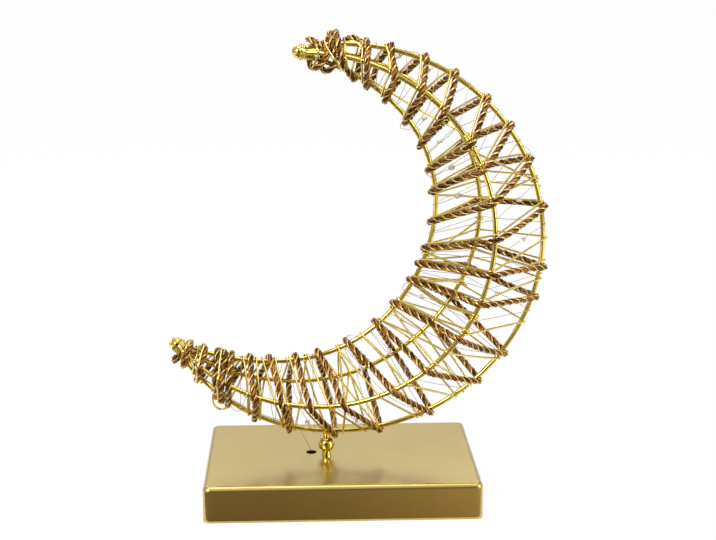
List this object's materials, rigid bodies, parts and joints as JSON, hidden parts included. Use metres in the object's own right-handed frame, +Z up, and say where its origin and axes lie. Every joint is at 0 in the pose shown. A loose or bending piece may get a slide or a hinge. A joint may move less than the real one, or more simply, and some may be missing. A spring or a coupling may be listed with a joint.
{
  "type": "led moon decoration",
  "caption": "Tabletop crescent moon: a gold wire cage wound with cord and small lights, standing on a stem over a flat metal tray.",
  "frame": {"origin": "on the surface it stands on, under the middle of the whole object's box", "axes": "+Z up, +X to the right and +Y away from the viewer, seen from the front with the crescent open to the left"},
  "size_m": [0.2074, 0.1, 0.254],
  "materials": {
    "tray_gold": "satin gold plating on pressed steel sheet, faint grain, brighter on the rolled edges",
    "rail_gold": "polished gold-plated round wire",
    "cord_brown": "twisted brown cord with a gold strand laid in",
    "wire_gold": "bright thin gold wire",
    "wire_copper": "lacquered thin copper wire",
    "drop_resin": "clear warm resin drop over a small light chip",
    "steel": "zinc-plated steel",
    "contact_steel": "nickel-plated spring steel",
    "case_plastic": "fine-textured moulded plastic",
    "knob_plastic": "ribbed black plastic",
    "cell_sleeve": "plain printed film sleeve without any marks",
    "board": "green lacquered circuit board",
    "tape_foam": "double-sided foam tape"
  },
  "bodies": {
    "root": {"base_shell": "tray_gold", "outer_rail": "rail_gold", "front_rail": "rail_gold", "inner_rail": "rail_gold", "back_rail": "rail_gold", "upper_tip_ball": "rail_gold", "lower_tip_ball": "rail_gold", "stem": "rail_gold", "wrap_cord": "cord_brown", "binding_wire": "wire_gold", "led_wire": "wire_copper", "light_drop_01": "drop_resin", "light_drop_02": "drop_resin", "light_drop_03": "drop_resin", "light_drop_04": "drop_resin", "light_drop_05": "drop_resin", "light_drop_06": "drop_resin", "light_drop_07": "drop_resin", "light_drop_08": "drop_resin", "light_drop_09": "drop_resin", "light_drop_10": "drop_resin", "light_drop_11": "drop_resin", "light_drop_12": "drop_resin", "light_drop_13": "drop_resin", "light_drop_14": "drop_resin", "light_drop_15": "drop_resin", "light_drop_16": "drop_resin", "light_drop_17": "drop_resin", "light_drop_18": "drop_resin", "light_drop_19": "drop_resin", "light_drop_20": "drop_resin", "stem_washer": "steel", "stem_nut": "steel", "switch_housing": "steel", "contact_spring_1": "contact_steel", "contact_spring_2": "contact_steel", "contact_spring_3": "contact_steel", "contact_plate_left_pair": "contact_steel", "contact_plate_left_single": "contact_steel", "contact_plate_right_single": "contact_steel", "contact_plate_right_pair": "contact_steel", "battery_case": "case_plastic", "battery_cell_1": "cell_sleeve", "battery_cell_2": "cell_sleeve", "battery_cell_3": "cell_sleeve", "controller_board": "board", "foam_tape_front": "tape_foam", "foam_tape_back": "tape_foam"},
    "battery_cover": {"battery_cover": "case_plastic"},
    "switch_knob": {"switch_knob": "knob_plastic"}
  },
  "joints": [
    {"name": "cover_slide", "type": "slide", "parent": "root", "child": "battery_cover", "axis": [-1, 0, 0], "range_m": [0, 0.052]},
    {"name": "switch_slide", "type": "slide", "parent": "root", "child": "switch_knob", "axis": [0, 1, 0], "range_m": [0, 0.0026]}
  ]
}
